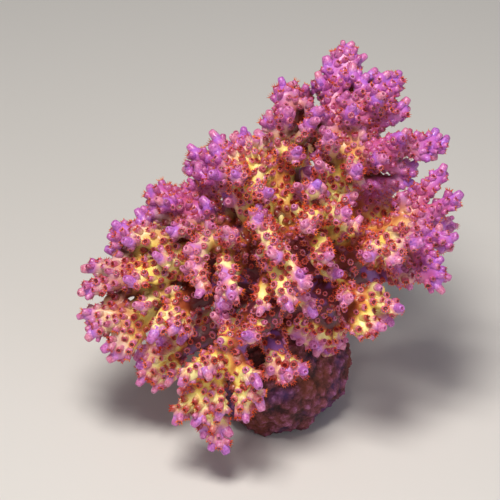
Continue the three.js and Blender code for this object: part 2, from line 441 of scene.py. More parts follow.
@dataclass(frozen=True)
class CupTissue:
    """The wet tissue over a cup: the skin's colour at the foot, rosy on the wall, maroon in the mouth.

    Light goes a little way into it, and its fine wrinkles keep the wet highlights small.
    """

    tissue: TissueColours = TissueColours()
    walls: Ramp = (
        (0.0, "#A4342E"),
        (0.3, "#B24A4E"),
        (0.6, "#BA5C80"),
        (0.88, "#C272A8"),
        (1.0, "#BE6058"),
    )
    tips: Ramp = (
        (0.0, "#7C58D0"),
        (0.03, "#B064B8"),
        (0.5, "#C46CA8"),
        (1.0, "#D2809A"),
    )
    flushed: str = "#AE5CA8"  # walls on the rosy side of the colony
    mouth: str = "#6E1A16"
    young_mouth: str = "#9C3A70"
    # painted shade: the dark colour that cups deep between the fingers are mixed towards
    painted_shade: str = "#5A1810"
    fold: float = 0.55  # millimetres across a wrinkle of the tissue
    roughness: float = 0.38
    # painted glow: the cup colour is emitted a little, standing in for fluorescence
    painted_glow: float = 0.12

    def material(self) -> bpy.types.Material:
        """Builds the material.

        Returns:
            The material.
        """
        material, tree, shader = new_material("coral_cup_tissue")
        skin = self.tissue.socket(tree)
        seed = add_node(tree, "ShaderNodeAttribute", {"attribute_name": Along.SEED.value}).outputs["Fac"]
        rise = add_node(tree, "ShaderNodeAttribute", {"attribute_name": Along.RISE.value}).outputs["Fac"]
        to_tip = add_node(tree, "ShaderNodeAttribute", {"attribute_name": Along.TO_TIP.value}).outputs["Fac"]
        shade = add_node(tree, "ShaderNodeAttribute", {"attribute_name": Along.SHADE.value}).outputs["Fac"]
        plain = add_node(tree, "ShaderNodeValToRGB", links={"Fac": seed}, stops=self.walls).outputs["Color"]
        flush = add_node(tree, "ShaderNodeAttribute", {"attribute_name": Along.FLUSH.value}).outputs["Fac"]
        share = add_node(tree, "ShaderNodeMath", {"operation": "MULTIPLY"}, {0: flush, 1: 0.5}).outputs[0]
        wall = add_node(
            tree, "ShaderNodeMixRGB", links={"Fac": share, "Color1": plain, "Color2": linear(self.flushed)}
        ).outputs["Color"]
        tip = add_node(tree, "ShaderNodeValToRGB", links={"Fac": seed}, stops=self.tips).outputs["Color"]
        near_tip = add_node(
            tree,
            "ShaderNodeMapRange",
            {"interpolation_type": "SMOOTHSTEP"},
            {"Value": to_tip, "From Min": 3.4, "From Max": 1.0},
        ).outputs["Result"]
        rosy = add_node(
            tree, "ShaderNodeMixRGB", links={"Fac": near_tip, "Color1": wall, "Color2": tip}
        ).outputs["Color"]
        # painted shade: the cup colour darkens where the fingers close round it
        rosy_in_painted_shade = add_node(
            tree, "ShaderNodeMixRGB", links={"Fac": shade, "Color1": rosy, "Color2": linear(self.painted_shade)}
        ).outputs["Color"]
        climb = add_node(
            tree,
            "ShaderNodeMapRange",
            {"interpolation_type": "SMOOTHSTEP"},
            {"Value": rise, "From Min": 0.0, "From Max": 0.75},
        ).outputs["Result"]
        outside = add_node(
            tree, "ShaderNodeMixRGB", links={"Fac": climb, "Color1": skin, "Color2": rosy_in_painted_shade}
        ).outputs["Color"]
        within = add_node(
            tree,
            "ShaderNodeMapRange",
            {"interpolation_type": "SMOOTHSTEP"},
            {"Value": rise, "From Min": 1.15, "From Max": 1.6},
        ).outputs["Result"]
        mouth = add_node(
            tree,
            "ShaderNodeMixRGB",
            links={"Fac": near_tip, "Color1": linear(self.mouth), "Color2": linear(self.young_mouth)},
        ).outputs["Color"]
        lipped = add_node(
            tree, "ShaderNodeMixRGB", links={"Fac": within, "Color1": outside, "Color2": mouth}
        ).outputs["Color"]
        centre = add_node(
            tree, "ShaderNodeMapRange", links={"Value": rise, "From Min": 1.86, "From Max": 1.98}
        ).outputs["Result"]
        colour = add_node(
            tree, "ShaderNodeMixRGB", links={"Fac": centre, "Color1": lipped, "Color2": rosy}
        ).outputs["Color"]
        place = add_node(tree, "ShaderNodeTexCoord").outputs["Object"]
        folds = add_node(
            tree,
            "ShaderNodeTexNoise",
            links={"Vector": place, "Scale": 1 / (self.fold * MM), "Detail": 4.0, "Roughness": 0.6},
        ).outputs["Fac"]
        mottle = add_node(
            tree, "ShaderNodeMapRange", links={"Value": folds, "From Min": 0.3, "From Max": 0.7}
        ).outputs["Result"]
        paler = add_node(
            tree,
            "ShaderNodeMixRGB",
            {"blend_type": "SOFT_LIGHT"},
            {"Fac": 0.7, "Color1": colour, "Color2": mottle},
        ).outputs["Color"]
        bump = add_node(
            tree, "ShaderNodeBump", links={"Height": folds, "Strength": 0.6, "Distance": 0.16 * MM}
        ).outputs["Normal"]
        tree.links.new(paler, shader.inputs["Base Color"])
        # painted glow: the cup colour is emitted as well as reflected
        tree.links.new(paler, shader.inputs["Emission Color"])
        tree.links.new(bump, shader.inputs["Normal"])
        shader.inputs["Emission Strength"].default_value = self.painted_glow
        shader.inputs["Roughness"].default_value = self.roughness
        shader.inputs["Subsurface Weight"].default_value = 0.2
        shader.inputs["Subsurface Scale"].default_value = 0.4 * MM
        shader.inputs["Coat Weight"].default_value = 0.3
        shader.inputs["Coat Roughness"].default_value = 0.2
        return material


@dataclass(frozen=True)
class TentacleTissue:
    """Polyp tentacles: soft, wet and strongly orange-red, which gives the colony its fiery flecks.

    They are rustier on the rosy side of the colony, and painted darker between the fingers as shade.
    """

    colours: Ramp = (
        (0.0, "#B4300F"),
        (0.4, "#D64C12"),
        (0.75, "#F07A1E"),
        (1.0, "#C8484A"),
    )
    rusty: str = "#8E3C34"
    # painted shade: the dark colour of tentacles deep between the fingers
    painted_shade: str = "#54180E"
    # painted glow: the strongest of the three, which makes the orange tentacles glow
    painted_glow: float = 0.28

    def material(self) -> bpy.types.Material:
        """Builds the material.

        Returns:
            The material.
        """
        material, tree, shader = new_material("coral_tentacles")
        seed = add_node(tree, "ShaderNodeAttribute", {"attribute_name": Along.SEED.value}).outputs["Fac"]
        flush = add_node(tree, "ShaderNodeAttribute", {"attribute_name": Along.FLUSH.value}).outputs["Fac"]
        bright = add_node(
            tree, "ShaderNodeValToRGB", links={"Fac": seed}, stops=self.colours
        ).outputs["Color"]
        share = add_node(tree, "ShaderNodeMath", {"operation": "MULTIPLY"}, {0: flush, 1: 0.25}).outputs[0]
        open_colour = add_node(
            tree,
            "ShaderNodeMixRGB",
            links={"Fac": share, "Color1": bright, "Color2": linear(self.rusty)},
        ).outputs["Color"]
        # painted shade: darker where the fingers close round the cup
        shade = add_node(tree, "ShaderNodeAttribute", {"attribute_name": Along.SHADE.value}).outputs["Fac"]
        colour = add_node(
            tree,
            "ShaderNodeMixRGB",
            links={"Fac": shade, "Color1": open_colour, "Color2": linear(self.painted_shade)},
        ).outputs["Color"]
        tree.links.new(colour, shader.inputs["Base Color"])
        # painted glow: the tentacle colour is emitted as well as reflected
        tree.links.new(colour, shader.inputs["Emission Color"])
        shader.inputs["Emission Strength"].default_value = self.painted_glow
        shader.inputs["Roughness"].default_value = 0.35
        return material


@dataclass(frozen=True)
class CorallineCrust:
    """Crustose coralline algae on reef rubble: hard, matt and knobbly.

    The colour follows the relief: the pits are painted nearly black as shade and the knobs
    painted pink as highlights, so the stone looks rough and maroon.
    """

    # by relief: the near-black end is painted shade in the pits, the pale pink end a painted highlight on
    # the knobs
    colours: Ramp = (
        (0.0, "#1C0B10"),
        (0.25, "#471C20"),
        (0.45, "#6C3034"),
        (0.62, "#864454"),
        (0.8, "#A45C84"),
        (1.0, "#C98CB4"),
    )
    rust: str = "#7C3A1C"  # brown turf that grows between the crusts
    violet: str = "#523A94"
    patch: float = 9.0  # millimetres across a patch of one plant
    grit: float = 0.6  # millimetres across the finest grain that still shows
    roughness: float = 0.75

    def material(self) -> bpy.types.Material:
        """Builds the material.

        Returns:
            The material.
        """
        material, tree, shader = new_material("reef_rubble_coralline_crust")
        place = add_node(tree, "ShaderNodeTexCoord").outputs["Object"]
        grit = add_node(
            tree,
            "ShaderNodeTexNoise",
            links={"Vector": place, "Scale": 1 / (self.grit * MM), "Detail": 4.0, "Roughness": 0.7},
        ).outputs["Fac"]
        # painted shade and highlight: the colour darkens in the pits and pales on the knobs
        relief = add_node(tree, "ShaderNodeAttribute", {"attribute_name": Along.RELIEF.value}).outputs["Fac"]
        painted_relief_light = add_node(
            tree, "ShaderNodeMath", {"operation": "MULTIPLY_ADD"}, {0: relief, 1: 0.55, 2: 0.02}
        ).outputs[0]
        key = add_node(tree, "ShaderNodeMath", {"operation": "ADD"}, {0: grit, 1: painted_relief_light}).outputs[0]
        crust = add_node(tree, "ShaderNodeValToRGB", links={"Fac": key}, stops=self.colours).outputs["Color"]
        patches = add_node(
            tree,
            "ShaderNodeTexNoise",
            links={"Vector": place, "Scale": 1 / (self.patch * MM), "Detail": 3.0},
        ).outputs["Fac"]
        turf = add_node(
            tree,
            "ShaderNodeMapRange",
            links={"Value": patches, "From Min": 0.5, "From Max": 0.36, "To Max": 0.6},
        ).outputs["Result"]
        bloom = add_node(
            tree,
            "ShaderNodeMapRange",
            links={"Value": patches, "From Min": 0.56, "From Max": 0.7, "To Max": 0.4},
        ).outputs["Result"]
        warm = add_node(
            tree, "ShaderNodeMixRGB", links={"Fac": turf, "Color1": crust, "Color2": linear(self.rust)}
        ).outputs["Color"]
        colour = add_node(
            tree, "ShaderNodeMixRGB", links={"Fac": bloom, "Color1": warm, "Color2": linear(self.violet)}
        ).outputs["Color"]
        fine = add_node(
            tree, "ShaderNodeBump", links={"Height": grit, "Strength": 0.8, "Distance": 0.3 * MM}
        ).outputs["Normal"]
        tree.links.new(colour, shader.inputs["Base Color"])
        tree.links.new(fine, shader.inputs["Normal"])
        shader.inputs["Roughness"].default_value = self.roughness
        return material


@dataclass
class SkinMap:
    """The skin's points, who their neighbours are, and where each point is on the colony."""

    mesh: bpy.types.Mesh
    tip_spacing: float = 2.6 * MM
    tip_probe: float = 2.4 * MM
    tip_sharpness: float = 0.5 * MM
    shade_reach: float = 10 * MM
    shade_lean: float = math.radians(50)
    shade_rays: int = 6
    shade_lift: float = 0.3 * MM  # how far above the skin the rays start
    points: np.ndarray = field(init=False)
    normals: np.ndarray = field(init=False)
    first: np.ndarray = field(init=False)
    beside: np.ndarray = field(init=False)
    gaps: np.ndarray = field(init=False)

    def __post_init__(self) -> None:
        """Reads the points and sorts each one's neighbours together."""
        count = len(self.mesh.vertices)
        self.points = np.empty(count * 3)
        self.normals = np.empty(count * 3)
        self.mesh.vertices.foreach_get("co", self.points)
        self.mesh.vertices.foreach_get("normal", self.normals)
        self.points = self.points.reshape(-1, 3)
        self.normals = self.normals.reshape(-1, 3)
        ends = np.empty(len(self.mesh.edges) * 2, np.int32)
        self.mesh.edges.foreach_get("vertices", ends)
        ends = ends.reshape(-1, 2)
        here = np.concatenate([ends[:, 0], ends[:, 1]])
        there = np.concatenate([ends[:, 1], ends[:, 0]])
        order = np.argsort(here, kind="stable")
        self.beside = there[order]
        self.first = np.searchsorted(here[order], np.arange(count + 1))
        self.gaps = np.linalg.norm(self.points[self.beside] - self.points[here[order]], axis=1)

    def tree(self) -> BVHTree:
        """Makes the skin ready for finding nearest points and casting rays."""
        return BVHTree.FromPolygons(self.points.tolist(), [tuple(p.vertices) for p in self.mesh.polygons])

    def average(self, values: np.ndarray, rounds: int) -> np.ndarray:
        """Evens values out between neighbours.

        Args:
            values: One value or row for each point.
            rounds: How many times each point meets its neighbours half way.

        Returns:
            The evened values.
        """
        degree = np.diff(self.first).reshape(-1, *[1] * (values.ndim - 1))
        for _ in range(rounds):
            around = np.add.reduceat(values[self.beside], self.first[:-1], axis=0) / degree
            values = (values + around) / 2
        return values

    def distances(self, starts: Iterable[int]) -> np.ndarray:
        """Measures the way along the skin from the nearest start.

        Args:
            starts: The points to measure from.

        Returns:
            The distance of each point, in metres.
        """
        first, beside, gaps = self.first.tolist(), self.beside.tolist(), self.gaps.tolist()
        reached = [math.inf] * len(self.points)
        queue = [(0.0, int(start)) for start in starts]
        for _, start in queue:
            reached[start] = 0.0
        heapq.heapify(queue)
        while queue:
            so_far, here = heapq.heappop(queue)
            if so_far > reached[here]:
                continue
            for k in range(first[here], first[here + 1]):
                total = so_far + gaps[k]
                if total < reached[beside[k]]:
                    reached[beside[k]] = total
                    heapq.heappush(queue, (total, beside[k]))
        return np.array(reached)

    def joined_up(self, labels: np.ndarray) -> np.ndarray:
        """Gives each stray patch of a label to the patches round it, so that each label has one patch.

        Args:
            labels: A label for each point.

        Returns:
            The labels.
        """
        first, beside, kept = self.first.tolist(), self.beside.tolist(), labels.tolist()
        patches: dict[int, list[int]] = {}
        seen = [False] * len(kept)
        for start in range(len(kept)):
            if seen[start]:
                continue
            seen[start] = True
            patch = [start]
            for here in patch:
                for there in beside[first[here] : first[here + 1]]:
                    if not seen[there] and kept[there] == kept[start]:
                        seen[there] = True
                        patch.append(there)
            if len(patch) > len(patches.get(kept[start], ())):
                patches[kept[start]] = patch
        found: list[int | None] = [None] * len(kept)
        queue = [here for patch in patches.values() for here in patch]
        for here in queue:
            found[here] = kept[here]
        for here in queue:
            for there in beside[first[here] : first[here + 1]]:
                if found[there] is None:
                    found[there] = found[here]
                    queue.append(there)
        return np.array(found)

    def headings(self, from_root: np.ndarray) -> np.ndarray:
        """Finds the direction of growth at each point.

        Args:
            from_root: Each point's distance from the root.

        Returns:
            Unit vectors along the skin, away from the root.
        """
        here = np.repeat(np.arange(len(self.points)), np.diff(self.first))
        steps = self.points[self.beside] - self.points[here]
        gain = (from_root[self.beside] - from_root[here])[:, None]
        slope = np.add.reduceat(steps * gain, self.first[:-1], axis=0)
        slope /= np.linalg.norm(slope, axis=1, keepdims=True) + 1e-12
        slope = self.average(slope, 12)
        slope -= self.normals * np.sum(slope * self.normals, axis=1, keepdims=True)
        return slope / (np.linalg.norm(slope, axis=1, keepdims=True) + 1e-12)

    def tips(self, from_root: np.ndarray) -> list[int]:
        """Finds the finger tips, where the way from the root peaks on a sharply rounded place.

        Args:
            from_root: Each point's distance from the root.

        Returns:
            The points at the tips.
        """
        around = np.maximum.reduceat(from_root[self.beside], self.first[:-1])
        peaks = np.flatnonzero(from_root >= around)
        tree = KDTree(len(self.points))
        for i, point in enumerate(self.points):
            tree.insert(point, i)
        tree.balance()
        kept: list[int] = []
        for peak in peaks[np.argsort(-from_root[peaks])]:
            near = np.array([i for _, i, _ in tree.find_range(self.points[peak], self.tip_probe)])
            drop = self.points[peak] - self.points[near].mean(axis=0)
            if drop @ self.normals[peak] < self.tip_sharpness:
                continue
            if all(np.linalg.norm(self.points[peak] - self.points[k]) > self.tip_spacing for k in kept):
                kept.append(int(peak))
        return kept

    def shade(self) -> np.ndarray:
        """Measures how closed in each point is by the fingers round it.

        Returns:
            For each point, 0 in the open to 1 where every way out is blocked.
        """
        tree = self.tree()
        side = np.cross(self.normals, [0.3, 0.5, 0.8])
        side /= np.linalg.norm(side, axis=1, keepdims=True) + 1e-12
        other = np.cross(self.normals, side)
        blocked = np.zeros(len(self.points))
        for k in range(self.shade_rays + 1):
            lean = self.shade_lean if k else 0.0
            turn = 2 * math.pi * k / self.shade_rays
            rays = self.normals * math.cos(lean)
            rays += (side * math.cos(turn) + other * math.sin(turn)) * math.sin(lean)
            starts = self.points + self.normals * self.shade_lift
            for i, (start, ray) in enumerate(zip(starts.tolist(), rays.tolist())):
                distance = tree.ray_cast(start, ray, self.shade_reach)[3]
                if distance is not None:
                    blocked[i] += 1 - 0.5 * distance / self.shade_reach
        return self.average(blocked / (self.shade_rays + 1), 4)


class CupKind(Enum):
    """The kinds of cup."""

    SIDE = "side"  # a short leaning tube on a finger's flank, its polyp half out
    SHUT = "shut"  # a low side cup whose polyp has drawn in to a tuft
    SHAGGY = "shaggy"  # a side cup whose polyp is well out
    BUD = "bud"  # a slim young cup close to a tip
    TIP = "tip"  # the rounder, larger cup that ends a finger


@dataclass(frozen=True)
class CupShape:
    """One cup with its polyp, in millimetres: a lathed tube with a thick round lip, and tentacles."""

    outline: tuple[tuple[float, float, float], ...]  # radius, height and rise of each ring, foot to mouth
    tentacles: int
    tentacle_length: float = 0.6
    tentacle_radius: float = 0.15
    tentacle_ring: float = 0.5
    tentacle_lean: float = 0.8
    tentacle_sink: float = 0.1
    lip_ring: int = -4  # the ring of the outline whose height the tentacles stand at
    sides: int = 8

    def tube(self) -> bmesh.types.BMesh:
        """Spins the outline into a closed cup, its rings marked with their rise.

        Returns:
            The cup's mesh.
        """
        bm = bmesh.new()
        rise = bm.verts.layers.float.new(Along.RISE.value)
        corners = [bm.verts.new((radius, 0, height)) for radius, height, _ in self.outline]
        for vert, (_, _, level) in zip(corners, self.outline):
            vert[rise] = level
        line = [bm.edges.new(pair) for pair in zip(corners, corners[1:])]
        bmesh.ops.spin(
            bm,
            geom=corners + line,
            axis=(0, 0, 1),
            angle=2 * math.pi,
            steps=self.sides,
            use_merge=True,
        )
        bmesh.ops.remove_doubles(bm, verts=bm.verts, dist=1e-4)
        bmesh.ops.holes_fill(bm, edges=[e for e in bm.edges if e.is_boundary], sides=0)
        bmesh.ops.recalc_face_normals(bm, faces=bm.faces)
        return bm

    def polyp(self, bm: bmesh.types.BMesh) -> None:
        """Adds the ring of tentacles to a cup, as small spikes of material 1.

        Args:
            bm: The cup's mesh.
        """
        lip = self.outline[self.lip_ring][1] - self.tentacle_sink
        for k in range(self.tentacles):
            turn = 2 * math.pi * k / self.tentacles
            cone = bmesh.ops.create_cone(
                bm,
                cap_ends=True,
                segments=3,
                radius1=self.tentacle_radius,
                radius2=0,
                depth=self.tentacle_length,
            )["verts"]
            bmesh.ops.translate(bm, verts=cone, vec=(0, 0, self.tentacle_length / 2))
            lean = self.tentacle_lean * (1.0, 0.55, 0.8)[k % 3]
            tilt = Vector((math.sin(lean), 0, math.cos(lean))).to_track_quat("Z", "Y")
            bmesh.ops.rotate(bm, verts=cone, cent=(0, 0, 0), matrix=tilt.to_matrix())
            bmesh.ops.translate(bm, verts=cone, vec=(self.tentacle_ring, 0, lip))
            around = Vector((math.cos(turn), math.sin(turn), 0)).to_track_quat("X", "Z")
            bmesh.ops.rotate(bm, verts=cone, cent=(0, 0, 0), matrix=around.to_matrix())
            for face in {f for v in cone for f in v.link_faces}:
                face.material_index = 1

    def flat_wall(self, place: Vector, level: float) -> tuple[float, float]:
        """Lays a point of the tube out flat, as on a disc round the middle of the mouth.

        Args:
            place: The point.
            level: Its rise.

        Returns:
            Where it lies in a unit square.
        """
        steps = [math.dist(a[:2], b[:2]) for a, b in zip(self.outline, self.outline[1:])]
        ring = min(range(len(self.outline)), key=lambda i: abs(self.outline[i][2] - level))
        out = 0.47 * sum(steps[ring:]) / sum(steps)
        turn = math.atan2(place.y, place.x)
        return 0.5 + out * math.cos(turn), 0.5 + out * math.sin(turn)

    def flat_tentacle(self, place: Vector) -> tuple[float, float]:
        """Gives a tentacle's point its place in the corner that all of a cup's tentacles share."""
        return 0.02 + 0.04 * (place.z % 1), 0.02 + 0.04 * (place.x % 1)

    def stamp(self) -> "Stamp":
        """Builds the cup and reads it into arrays that can be repeated quickly.

        Returns:
            The cup's arrays.
        """
        bm = self.tube()
        self.polyp(bm)
        bmesh.ops.triangulate(bm, faces=bm.faces)
        bm.verts.ensure_lookup_table()
        rise = bm.verts.layers.float[Along.RISE.value]
        flats = []
        for face in bm.faces:
            for vert in (loop.vert for loop in face.loops):
                is_tentacle = face.material_index == 1
                flat = self.flat_tentacle(vert.co) if is_tentacle else self.flat_wall(vert.co, vert[rise])
                flats.append(flat)
        stamp = Stamp(
            points=np.array([v.co[:] for v in bm.verts]),
            faces=np.array([[v.index for v in f.verts] for f in bm.faces]),
            materials=np.array([f.material_index for f in bm.faces]),
            rise=np.array([v[rise] for v in bm.verts]),
            flats=np.array(flats),
        )
        bm.free()
        return stamp


@dataclass(frozen=True)
class Stamp:
    """A cup's arrays: points in millimetres, faces, their materials, and a flat layout in a unit square."""

    points: np.ndarray
    faces: np.ndarray
    materials: np.ndarray
    rise: np.ndarray
    flats: np.ndarray


SIDE_OUTLINE = (
    (0.94, -0.9, 0.0),
    (0.86, 0.7, 0.65),
    (0.74, 1.02, 1.0),
    (0.54, 1.08, 1.25),
    (0.42, 0.82, 1.6),
    (0.2, 0.92, 1.8),
    (0.0, 0.86, 2.0),
)
CUP_SHAPES = {
    CupKind.SIDE: CupShape(
        outline=SIDE_OUTLINE,
        tentacles=8,
        tentacle_length=0.7,
        tentacle_radius=0.18,
        tentacle_ring=0.5,
        tentacle_lean=math.radians(50),
    ),
    CupKind.SHUT: CupShape(
        outline=(
            (0.95, -0.9, 0.0),
            (0.84, 0.35, 0.35),
            (0.62, 0.7, 0.85),
            (0.36, 0.8, 1.4),
            (0.16, 0.72, 1.7),
            (0.0, 0.68, 2.0),
        ),
        tentacles=6,
        tentacle_length=0.58,
        tentacle_radius=0.19,
        tentacle_ring=0.38,
        tentacle_lean=math.radians(60),
    ),
    CupKind.SHAGGY: CupShape(
        outline=SIDE_OUTLINE,
        tentacles=10,
        tentacle_length=0.95,
        tentacle_radius=0.11,
        tentacle_ring=0.46,
        tentacle_lean=math.radians(46),
    ),
    CupKind.BUD: CupShape(
        outline=(
            (0.74, -0.9, 0.0),
            (0.7, 0.9, 0.65),
            (0.58, 1.22, 1.0),
            (0.4, 1.28, 1.25),
            (0.28, 1.1, 1.6),
            (0.0, 1.08, 2.0),
        ),
        tentacles=0,
    ),
    CupKind.TIP: CupShape(
        outline=(
            (1.22, -1.8, 0.0),
            (1.16, 0.0, 0.4),
            (1.04, 0.85, 0.75),
            (0.86, 1.5, 0.95),
            (0.62, 1.74, 1.1),
            (0.42, 1.72, 1.25),
            (0.26, 1.46, 1.6),
            (0.0, 1.4, 2.0),
        ),
        tentacles=0,
        sides=12,
    ),
}


@dataclass(frozen=True)
class Cup:
    """Where one cup stands, which way it points, and how big it is."""

    kind: CupKind
    root: int  # the skin point that it stands on
    axis: np.ndarray  # the unit vector out of its mouth
    width: float  # as a share of its shape's
    height: float
    sink: float  # millimetres into the skin


@dataclass
class Plot:
    """The skin points already taken by cups, kept in cells so that a free place is found quickly."""

    points: np.ndarray  # millimetres
    cell: float = 2.6
    taken: dict[tuple[int, ...], list[int]] = field(default_factory=dict)

    def key(self, place: int) -> tuple[int, ...]:
        """Gives the cell that a point is in."""
        return tuple(int(v) for v in np.floor(self.points[place] / self.cell))

    def take(self, place: int) -> None:
        """Marks a point as taken."""
        self.taken.setdefault(self.key(place), []).append(place)

    def is_free(self, place: int, room: float) -> bool:
        """Tells whether a cup has room at a point.

        Args:
            place: The point.
            room: How far the next cup has to be, in millimetres.

        Returns:
            Whether no taken point in this cell or the ones round it is nearer.
        """
        here = self.key(place)
        for step in product((-1, 0, 1), repeat=3):
            for other in self.taken.get(tuple(a + b for a, b in zip(here, step)), ()):
                gap = self.points[place] - self.points[other]
                if np.dot(gap, gap) < room * room:
                    return False
        return True


@dataclass(frozen=True)
class Finger:
    """A side finger that grows out of the solids: a blunt, slightly tapered rod."""

    root: Vector
    tip: Vector
    radius: float

    def add_to(self, bm: bmesh.types.BMesh) -> None:
        """Adds the rod, with a round end, to a mesh.

        Args:
            bm: The mesh.
        """
        way = self.tip - self.root
        blunt = self.radius * 0.8
        depth = way.length - blunt
        middle = self.root + way.normalized() * depth / 2
        bmesh.ops.create_cone(
            bm,
            cap_ends=True,
            segments=12,
            radius1=self.radius,
            radius2=blunt,
            depth=depth,
            matrix=Matrix.Translation(middle) @ way.to_track_quat("Z", "Y").to_matrix().to_4x4(),
        )
        end = self.tip - way.normalized() * blunt
        bmesh.ops.create_icosphere(bm, subdivisions=2, radius=blunt, matrix=Matrix.Translation(end))


# Side fingers in the forks, each from its root to its tip, in millimetres.
SHOOTS = (
    ((15, 22, 66), (22, 26, 76)),
    ((16, 31, 73), (19.8, 34, 78)),
    ((17, 15, 62), (27, 24, 66.5)),
    ((17, 15, 62), (25, 20, 65)),
    ((9, 10, 52), (7, 13, 60.5)),
    ((-8.5, 8, 55), (-12.5, 6, 53.5)),
    ((26, 27, 72.5), (30.5, 29.5, 75)),
    ((17, 35, 76), (19.5, 37, 79)),
    ((22, -14, 42), (26, -13, 43.5)),
    ((34, -9, 45), (38.5, -12, 42.5)),
    ((6, 28, 68), (7.8, 30, 72.5)),
    ((20, 25, 72), (21.5, 28, 76)),
    ((-14.5, -30, 14), (-11.5, -33, 11)),
    ((-22, 6, 49), (-30, 8, 50.5)),
    ((-25, -9, 24), (-28, -10, 26.5)),
    ((22, 22, 70), (26, 28, 77.5)),
    ((3, 25, 71), (1.5, 30, 73.5)),
    ((25, 16, 61), (34, 20, 54)),
    ((4, 24, 66), (5.5, 29, 72.5)),
    ((14, 28, 68), (10.5, 29, 75.5)),
    ((9, 19, 63), (8, 24, 72.5)),
    ((15, 31, 72), (12.2, 33, 77.5)),
    ((20, 12, 57), (32.5, 15, 54.5)),
    ((32, -4, 50), (36, -8, 41.5)),
    ((35, -2, 50), (41, -3, 47.5)),
    ((-30, -4, 39), (-37.5, -4.5, 34.5)),
    ((-9, 10, 58), (-14.5, 14, 65)),
    ((-6, 13, 60), (-5, 15, 67)),
    ((20, -16, 41), (22, -22, 35)),
    ((-15, -28, 18), (-11, -31, 14.5)),
    ((-15, -28, 18), (-17.5, -31, 14)),
    ((-34, -10, 31), (-37.5, -16, 26)),
    ((-31, -3, 42), (-39, 0, 43)),
    ((-27, -11, 22), (-32.5, -14.5, 16.5)),
    ((29, 6, 52), (36, 9.5, 58)),
    ((-36, -5, 34.5), (-41, -6.5, 35)),
    ((17, 36, 75), (17.3, 39.5, 79)),
    ((37, 16, 63), (41.5, 17, 64.5)),
    ((-7, 16, 63), (-6.5, 19, 67)),
    ((26, 27, 73), (28.8, 29.5, 76.5)),
    ((19, 34, 75), (20.8, 35.5, 77.5)),
    ((4, 27, 70), (4.3, 30.5, 72.8)),
    ((-36, -15, 26), (-39, -16, 25.5)),
    ((22, 30, 73), (23.5, 31, 76)),
    ((-31, 1, 44), (-34, 1.5, 44.5)),
    ((28, 25, 66), (32.4, 25.5, 68.8)),
    ((-19, 15, 58), (-20.8, 18, 57.5)),
    ((-36, 1, 46), (-39.2, 2.5, 46.8)),
    ((-29, 8, 49), (-30.8, 11, 49.5)),
    ((-10, 10, 52), (-12, 14, 50)),
    ((-10, 9, 50), (-11.5, 12, 47)),
)
SHOOT_RADIUS = 1.75


